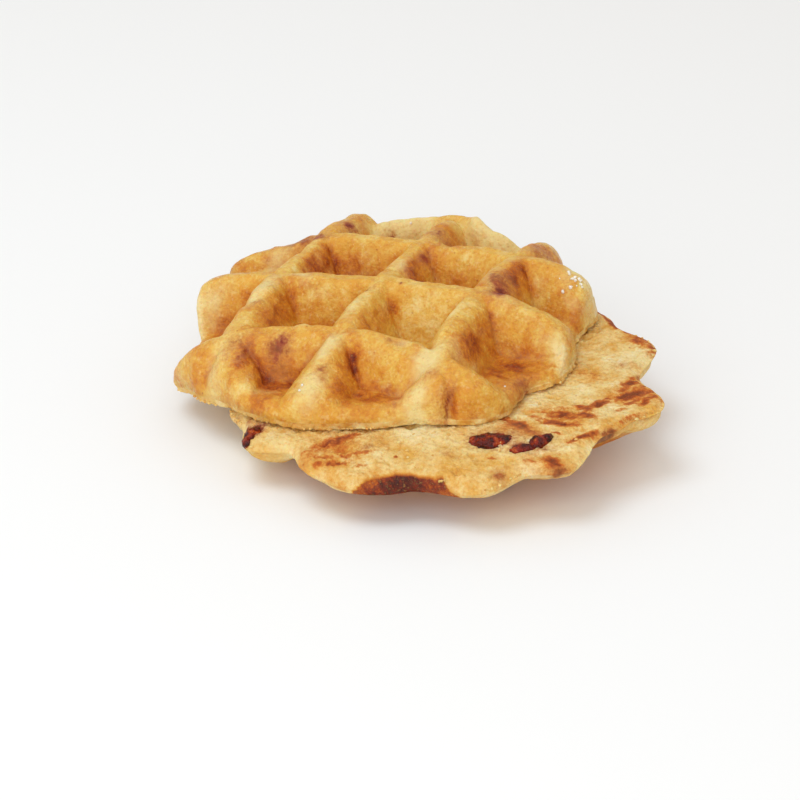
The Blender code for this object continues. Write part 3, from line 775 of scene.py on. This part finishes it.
def dough_material():
    """Yeasted wheat dough with melted sugar, baked between griddle plates and cut open.

    The crust is satin and mottled: cream where it only brushed the plate, amber on the walls
    and brown in the creases, where painted shade darkens it as well. The crumb inside is matt,
    pale and full of small holes. Light goes a few millimetres in, which warms the thin edges.
    """
    material, tree, shader, at = new_material("griddled sugar dough")
    bake = add(tree, "Attribute", attribute_name="bake")
    tint = add(tree, "Attribute", attribute_name="tint")
    darkness, stain_and_shade, crumb = add(tree, "SeparateColor", {"Color": bake["Color"]})[:3]
    char_and_shadow = bake["Alpha"]
    pale, gloss, juice = add(tree, "SeparateColor", {"Color": tint["Color"]})[:3]

    # Four noises: (mm across, detail, roughness)
    noises = []
    for size, detail, roughness in ((0.8, 4.0, 0.7), (2.6, 4.0, 0.65), (7.0, 3.0, 0.6), (1.1, 2.0, 0.7)):
        inputs = {"Vector": at, "Scale": PER_MM / size, "Detail": detail, "Roughness": roughness}
        noises.append(add(tree, "TexNoise", inputs)["Fac"])
    grain, mottle, patches, flecks = noises

    # How dark each point is: the darkness mask, toast with painted shade in it, mottled half as strongly on
    # the crumb as on the crust
    even = add(tree, "Math", {0: crumb, 1: -0.5, 2: 1.0}, operation="MULTIPLY_ADD")[0]
    mixed = add(tree, "Math", {0: grain, 1: 1.3, 2: mottle}, operation="MULTIPLY_ADD")[0]
    mixed = add(tree, "Math", {0: mixed, 1: 1.15}, operation="SUBTRACT")[0]
    mixed = add(tree, "Math", {0: mixed, 1: even}, operation="MULTIPLY")[0]
    shade = add(tree, "Math", {0: mixed, 1: 0.52, 2: darkness}, operation="MULTIPLY_ADD")[0]
    crust = add(tree, "ValToRGB", {"Fac": shade}, stops=(
        (0.0, "EED48A"), (0.2, "E7BC58"), (0.38, "DD9E36"), (0.55, "D07E1C"), (0.7, "B4590C"),
        (0.84, "862C04"), (1.0, "4A1200"),
    ))[0]
    bread = add(tree, "ValToRGB", {"Fac": shade}, stops=(
        (0.0, "F6E6B6"), (0.22, "EFD08A"), (0.42, "E2AE56"), (0.68, "C97D28"), (1.0, "84390F"),
    ))[0]
    surface = add(tree, "Mix", {0: crumb, 6: crust, 7: bread}, data_type="RGBA")[2]

    # Golden and cream patches and cream flecks, where the bake is light; then the whitish dough
    light = add(tree, "MapRange", {"Value": darkness, "From Min": 0.75, "From Max": 0.5})[0]
    lightest = add(tree, "MapRange", {"Value": darkness, "From Min": 0.62, "From Max": 0.4})[0]
    surface = laid_over(tree, surface, linear("E4A432"), patches, 0.50, 0.68, 0.45, light)
    surface = laid_over(tree, surface, linear("EFDA9E"), patches, 0.46, 0.30, 0.22, light)
    surface = laid_over(tree, surface, linear("F2DA9C"), flecks, 0.56, 0.68, 0.30, lightest)
    surface = laid_over(tree, surface, linear("EDD896"), pale, 0.05, 0.90, 0.78)

    # Toasted strokes with the warmth round them and a painted shadow of the upper half, berries
    # under the skin with painted shade in a crease and a notch, and their juice: (mask, how much
    # the grain breaks it up, (none, full, most), colours from weak to strong)
    layers = (
        (char_and_shadow, 0.9, (0.04, 0.42, 0.95),
         ((0.0, "E3A850"), (0.28, "D88E38"), (0.52, "C4641E"), (0.78, "9E4012"), (1.0, "7A2C0C"))),
        (stain_and_shade, 0.7, (0.04, 0.60, 0.85),
         ((0.0, "D8A064"), (0.35, "C07C3E"), (0.65, "A04E22"), (1.0, "6E2414"))),
        (juice, 0.7, (0.20, 0.62, 0.95),
         ((0.0, "D0895A"), (0.4, "A84A2C"), (0.7, "7A2010"), (1.0, "4A0C06"))),
    )
    for mask, broken, reach, stops in layers:
        strength = add(tree, "Math", {0: grain, 1: broken, 2: mask}, operation="MULTIPLY_ADD")[0]
        strength = add(tree, "Math", {0: strength, 1: broken / 2.0}, operation="SUBTRACT")[0]
        colour = add(tree, "ValToRGB", {"Fac": strength}, stops=stops)[0]
        surface = laid_over(tree, surface, colour, strength, *reach)

    # Brown specks of sugar, in about a third of the cells
    specks = add(tree, "TexVoronoi", {"Vector": at, "Scale": PER_MM / 2.8})
    chosen = add(tree, "SeparateColor", {"Color": specks["Color"]})[0]
    chosen = add(tree, "MapRange", {"Value": chosen, "From Min": 0.62, "From Max": 0.75})[0]
    surface = laid_over(tree, surface, linear("B04A16"), specks["Distance"], 0.13, 0.05, 0.60, chosen)
    tree.links.new(surface, shader.inputs["Base Color"])

    # Satin crust, matt crumb, and a little more gloss on the crests and the darker mottles
    dull = add(tree, "MapRange", {"Value": crumb, "To Min": 0.57, "To Max": 1.0})[0]
    dull = add(tree, "Math", {0: gloss, 1: -0.18, 2: dull}, operation="MULTIPLY_ADD")[0]
    dull = add(tree, "Math", {0: mottle, 1: -0.30, 2: dull}, operation="MULTIPLY_ADD")[0]
    tree.links.new(dull, shader.inputs["Roughness"])
    shader.inputs["Subsurface Weight"].default_value = 0.30
    shader.inputs["Subsurface Radius"].default_value = (1.0, 0.55, 0.22)
    shader.inputs["Subsurface Scale"].default_value = 2.0 * MM
    shader.inputs["Specular IOR Level"].default_value = 0.32

    # Pores 1.2 mm apart, three times as deep in the crumb, under grain and mottle
    pores = add(tree, "TexVoronoi", {"Vector": at, "Scale": PER_MM / 1.2})["Distance"]
    deeper = add(tree, "Math", {0: crumb, 1: 0.9, 2: 0.4}, operation="MULTIPLY_ADD")[0]
    height = add(tree, "Math", {0: pores, 1: deeper}, operation="MULTIPLY")[0]
    height = add(tree, "Math", {0: grain, 1: 1.2, 2: height}, operation="MULTIPLY_ADD")[0]
    height = add(tree, "Math", {0: mottle, 1: 1.4, 2: height}, operation="MULTIPLY_ADD")[0]
    bump = add(tree, "Bump", {"Height": height, "Distance": 0.42 * MM, "Strength": 0.85})["Normal"]
    tree.links.new(bump, shader.inputs["Normal"])
    return material


def berry_material():
    """Cooked berry skin, wet with its own juice: nearly black red, with sharp highlights."""
    material, tree, shader, at = new_material("cooked berry skin")
    inputs = {"Vector": at, "Scale": PER_MM / 2.2, "Detail": 3.0, "Roughness": 0.55}
    clumps = add(tree, "TexNoise", inputs)["Fac"]
    colour = add(tree, "ValToRGB", {"Fac": clumps}, stops=(
        (0.34, "260402"), (0.47, "5C1003"), (0.58, "8E2406"), (0.70, "C0561C"),
    ))[0]
    tree.links.new(colour, shader.inputs["Base Color"])
    shader.inputs["Roughness"].default_value = 0.10
    shader.inputs["Specular IOR Level"].default_value = 0.3
    inputs = {"Vector": at, "Scale": PER_MM / 0.8, "Detail": 2.0, "Roughness": 0.5}
    folds = add(tree, "TexNoise", inputs)["Fac"]
    bump = add(tree, "Bump", {"Height": folds, "Distance": 0.9 * MM, "Strength": 1.0})["Normal"]
    tree.links.new(bump, shader.inputs["Normal"])
    return material


BERRIES = (
    ("berry_1", 0.4, ((11.2, -31.2, 1.3, 4.0, 3.2, 2.0, 4), (8.4, -31.0, 1.1, 2.6, 2.6, 1.8, 30),
                      (14.2, -31.6, 1.1, 2.4, 2.2, 1.6, 10))),
    ("berry_2", 2.1, ((22.2, -33.2, 1.5, 3.0, 2.1, 1.9, 34), (18.4, -35.6, 1.1, 3.6, 1.5, 1.5, 12),
                      (23.8, -32.0, 1.2, 1.7, 1.4, 1.5, 50))),
    ("berry_3", 4.0, ((-44.4, -19.6, 0.6, 3.4, 2.0, 1.8, 75), (-45.4, -22.0, 0.1, 1.9, 1.5, 1.4, 60))),
)


# Rings, poles included, and spokes of the small round shapes
LOBE_FINENESS = (29, 48)
GRAIN_FINENESS = (7, 8)


def unit_globe(rings, spokes):
    """Polar angles, azimuths and points of a globe of radius 1, ring by ring from its top pole."""
    polar = np.linspace(0.0, np.pi, rings)[:, None]
    azimuth = np.linspace(0.0, 2.0 * np.pi, spokes, endpoint=False)[None, :]
    across = np.sin(polar) * np.cos(azimuth)
    away = np.sin(polar) * np.sin(azimuth)
    up = np.cos(polar) + 0.0 * azimuth
    return polar, azimuth, np.stack([across, away, up], axis=-1)


def lobe(x, y, rise, half_length, half_width, half_height, turn, phase):
    """A squashed globe, lumped three times round, with shrivelled folds of noise."""
    polar, azimuth, globe = unit_globe(*LOBE_FINENESS)
    lumps = 1.0 + 0.07 * np.sin(polar) * np.sin(3.0 * azimuth + phase)
    folds = 1.0 + 0.10 * rough(globe * 4.0 + phase + x, 1.0, 201)
    body = globe * (lumps * folds)[..., None] * np.array([half_length, half_width, half_height])
    turn = math.radians(turn)
    return np.stack(
        [
            x + body[..., 0] * math.cos(turn) - body[..., 1] * math.sin(turn),
            y + body[..., 0] * math.sin(turn) + body[..., 1] * math.cos(turn),
            cut_height(x, y) + rise - half_height + body[..., 2],
        ],
        axis=-1,
    )


def joined_object(name, shapes, material, node=None):
    """One mesh of several closed shapes, each given as its rings of points in mm."""
    corners = []
    faces = []
    count = 0
    for points in shapes:
        more, kinds = closed_rings((points + STACK_SHIFT) * MM, count)
        corners.append(more)
        for kind in kinds:
            faces.extend(kind.tolist())
        count += len(more)
    piece = new_object(name, np.concatenate(corners), faces, material)
    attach(piece, "root")
    if node:
        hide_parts(node)


def on_shell(shell, u, v, on_cut):
    """The shell's point nearest this (u, v), on the cut face or else on the grid side."""
    other = ~shell.on_cut if on_cut else shell.on_cut
    away = (shell.u - u) ** 2 + (shell.v - v) ** 2 + 1e6 * other
    return shell.points.reshape(-1, 3)[np.argmin(away)]


def grains(places, size, flat, seed):
    """Small uneven lumps at these points: coarse globes, stretched and dented at random."""
    random = np.random.default_rng(seed)
    globe = unit_globe(*GRAIN_FINENESS)[2]
    shapes = []
    for place in places:
        spread = size * random.uniform(0.5, 1.0) * random.uniform(0.6, 1.2, 3) * np.array([1.0, 1.0, flat])
        dents = 1.0 + 0.3 * noise(globe * 1.9 + random.uniform(0.0, 50.0), 1.0, 301)
        shapes.append(place + globe * dents[..., None] * spread)
    return shapes


def scattered(shell, spots, on_cut, seed):
    """Points round each (u, v, spread, count) spot, laid on the shell."""
    random = np.random.default_rng(seed)
    places = []
    for u, v, spread, count in spots:
        for step_u, step_v in random.normal(0.0, spread, (count, 2)):
            places.append(on_shell(shell, u + step_u, v + step_v, on_cut))
    return places


def along_rim(shell, stretches, seed):
    """Points on the torn lower edge, at random between each (first degree, last degree, count)."""
    random = np.random.default_rng(seed)
    edge = int(np.argmax(shell.on_cut[:, 0])) - 2
    places = []
    for first, last, count in stretches:
        for degrees in random.uniform(first, last, count):
            places.append(shell.points[edge, int(degrees / 360.0 * SPOKES) % SPOKES])
    return places


# (u, v, spread, count) of sugar crystals on the upper half's grid
SUGAR = (
    (43.2, 21.6, 0.9, 7),
    (45.0, 22.6, 0.6, 3),
    (41.0, 19.0, 0.2, 1),
    (40.5, 22.5, 1.6, 5),
    (40.5, -21.5, 0.2, 1),
    (-2.0, -40.0, 1.6, 2),
    (-6.0, 42.0, 4.0, 4),
    (13.0, 38.0, 2.5, 3),
)

# (first degree, last degree, count) of crumbs on the torn edges
UPPER_CRUMBS = ((208, 232, 16), (246, 262, 8), (268, 300, 22), (0, 12, 8), (345, 359, 5))
LOWER_CRUMBS = ((205, 216, 10), (289, 293, 6), (302, 316, 12), (30, 48, 12), (352, 359, 5), (225, 232, 4))

# (u, v, spread, count) of crumbs on the cut face
CUT_CRUMBS = (
    (2.0, -30.0, 4.0, 8),
    (12.0, -28.0, 4.0, 8),
    (20.0, -29.0, 4.0, 7),
    (30.0, -17.0, 5.0, 6),
    (8.0, -40.0, 4.0, 4),
)


def crumb_material():
    """Torn bits of soft crumb, matt and golden, with light passing through their edges."""
    material, tree, shader, at = new_material("torn wheat crumb")
    tone = add(tree, "TexNoise", {"Vector": at, "Scale": PER_MM / 1.5, "Detail": 3.0})["Fac"]
    stops = ((0.35, "EFD48E"), (0.5, "E2B464"), (0.68, "CC8A38"))
    tree.links.new(add(tree, "ValToRGB", {"Fac": tone}, stops=stops)[0], shader.inputs["Base Color"])
    shader.inputs["Roughness"].default_value = 0.85
    shader.inputs["Subsurface Weight"].default_value = 0.25
    shader.inputs["Subsurface Radius"].default_value = (1.0, 0.55, 0.22)
    shader.inputs["Subsurface Scale"].default_value = 1.0 * MM
    bump = add(tree, "Bump", {"Height": tone, "Distance": 0.3 * MM, "Strength": 1.0})["Normal"]
    tree.links.new(bump, shader.inputs["Normal"])
    return material


def crystal_material():
    """Pearl sugar, half melted: clear grains with a bright glint."""
    material, tree, shader, at = new_material("pearl sugar")
    haze = add(tree, "TexNoise", {"Vector": at, "Scale": PER_MM / 0.5, "Detail": 2.0})["Fac"]
    stops = ((0.35, "F4E8CC"), (0.6, "FFFBF0"))
    tree.links.new(add(tree, "ValToRGB", {"Fac": haze}, stops=stops)[0], shader.inputs["Base Color"])
    shader.inputs["Roughness"].default_value = 0.15
    shader.inputs["IOR"].default_value = 1.54
    shader.inputs["Transmission Weight"].default_value = 0.12
    return material


def build_stage():
    """A white table, a white room and two soft lamps."""
    scene = bpy.context.scene
    scene.view_settings.view_transform = "Standard"
    table = bpy.data.materials.new("matt white table")
    table.use_nodes = True
    shader = table.node_tree.nodes["Principled BSDF"]
    shader.inputs["Base Color"].default_value = linear("F7F7F6")
    shader.inputs["Roughness"].default_value = 0.6
    mesh = bpy.data.meshes.new("floor")
    corners = TABLE_REACH * np.array([(-1, -1, 0), (1, -1, 0), (1, 1, 0), (-1, 1, 0)])
    mesh.from_pydata(corners, [], [(0, 1, 2, 3)])
    mesh.materials.append(table)
    floor = bpy.data.objects.new("floor", mesh)
    scene.collection.objects.link(floor)

    world = bpy.data.worlds.new("white room")
    world.use_nodes = True
    background = world.node_tree.nodes["Background"]
    background.inputs["Color"].default_value = (1.0, 0.95, 0.90, 1.0)
    background.inputs["Strength"].default_value = 0.70
    scene.world = world

    # (name, place in m, width in m, watts, colour), each turned to the origin
    lamps = (
        ("key", (-0.38, -0.06, 1.05), 0.70, 4.2, (0.76, 0.89, 1.0)),
        ("front_fill", (-0.22, -0.83, 0.45), 0.9, 3.4, (0.90, 0.92, 0.95)),
    )
    for name, place, size, power, colour in lamps:
        light = bpy.data.lights.new(name, "AREA")
        light.shape = "DISK"
        light.size = size
        light.energy = power
        light.color = colour
        lamp = bpy.data.objects.new(name, light)
        lamp.location = place
        x, y, z = place
        lamp.rotation_euler = (math.atan2(math.hypot(x, y), z), 0.0, math.atan2(x, -y))
        scene.collection.objects.link(lamp)


def build_camera():
    """The photograph's view: from straight in front, looking down on the aim by VIEW_DOWN."""
    aim = VIEW_AIM * MM + STACK_SHIFT * MM
    back = np.array([0.0, -math.cos(VIEW_DOWN), math.sin(VIEW_DOWN)])
    camera_data = bpy.data.cameras.new("camera")
    camera_data.sensor_width = SENSOR_WIDTH
    camera_data.lens = LENS
    camera = bpy.data.objects.new("camera", camera_data)
    camera.location = aim + VIEW_DISTANCE * back
    camera.rotation_euler = (math.pi / 2.0 - VIEW_DOWN, 0.0, 0.0)
    bpy.context.scene.collection.objects.link(camera)
    bpy.context.scene.camera = camera


dough = dough_material()
upper_shell, upper_masks = dress_upper()
upper = shell_object("upper_half_bread", upper_shell, upper_masks, dough)
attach(upper, "root")
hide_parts("upper_half")
lower_shell, lower_masks = dress_lower()
lower = shell_object("lower_half_bread", lower_shell, lower_masks, dough)
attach(lower, "root")
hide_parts("lower_half")
berry_skin = berry_material()
for berry, phase, lobes in BERRIES:
    shapes = [lobe(*numbers, phase) for numbers in lobes]
    joined_object(berry + "_fruit", shapes, berry_skin, node=berry)
sugar = grains(scattered(upper_shell, SUGAR, False, 401), 0.55, 1.0, 402)
joined_object("sugar_crystals", sugar, crystal_material())
crumbs = along_rim(upper_shell, UPPER_CRUMBS, 411) + along_rim(lower_shell, LOWER_CRUMBS, 412)
crumbs = crumbs + scattered(lower_shell, CUT_CRUMBS, True, 413)
joined_object("crumbs", grains(crumbs, 0.5, 0.8, 414), crumb_material())
build_stage()
build_camera()
